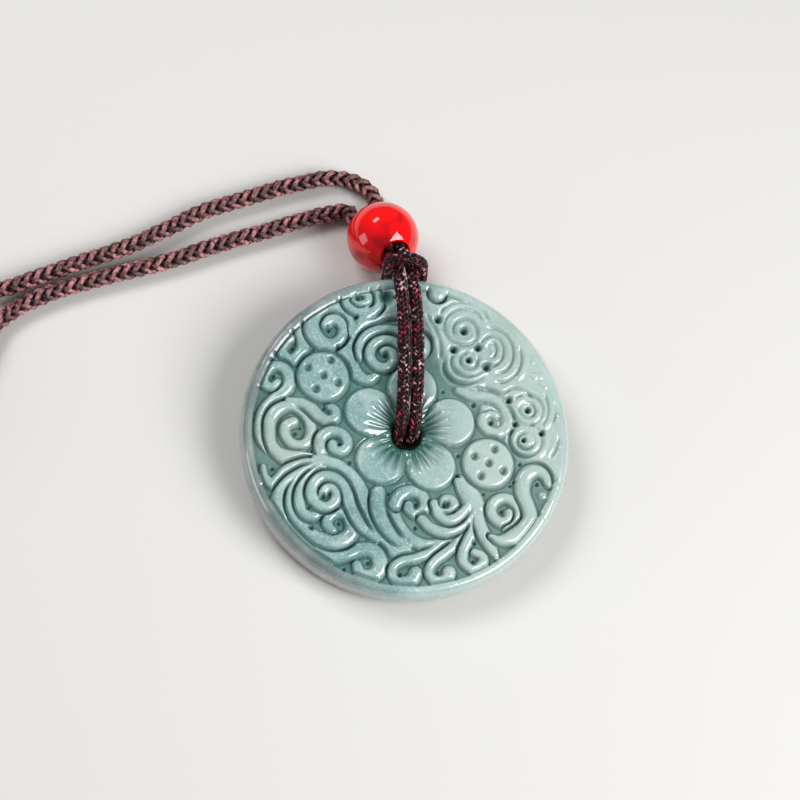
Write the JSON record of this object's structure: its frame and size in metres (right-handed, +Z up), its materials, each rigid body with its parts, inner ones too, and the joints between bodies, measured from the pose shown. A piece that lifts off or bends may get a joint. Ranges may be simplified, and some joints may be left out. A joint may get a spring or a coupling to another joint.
{
  "type": "peace buckle pendant",
  "caption": "Round carved jade peace buckle pendant on a doubled loop cord, with a round red bead and a braided neck cord ending in a tied coil.",
  "frame": {"origin": "middle of the pendant's box on the surface it lies on, the neck cord and its coil left out of the box", "axes": "+Z up out of the surface; +Y from the disc's hole towards the bead; +X to the right seen from above"},
  "size_m": [0.0953, 0.0511, 0.0106],
  "materials": {
    "jade": "polished translucent stone",
    "agate": "polished translucent stone",
    "fine_cord": "fine braid",
    "braided_cord": "coarse braid",
    "thread": "flat thread band"
  },
  "bodies": {
    "root": {"jade_disc": "jade", "red_bead": "agate", "loop_cord": "fine_cord", "necklace_cord_upper": "braided_cord", "necklace_cord_lower": "braided_cord", "necklace_coil": "braided_cord", "coil_tie": "thread"}
  },
  "joints": []
}
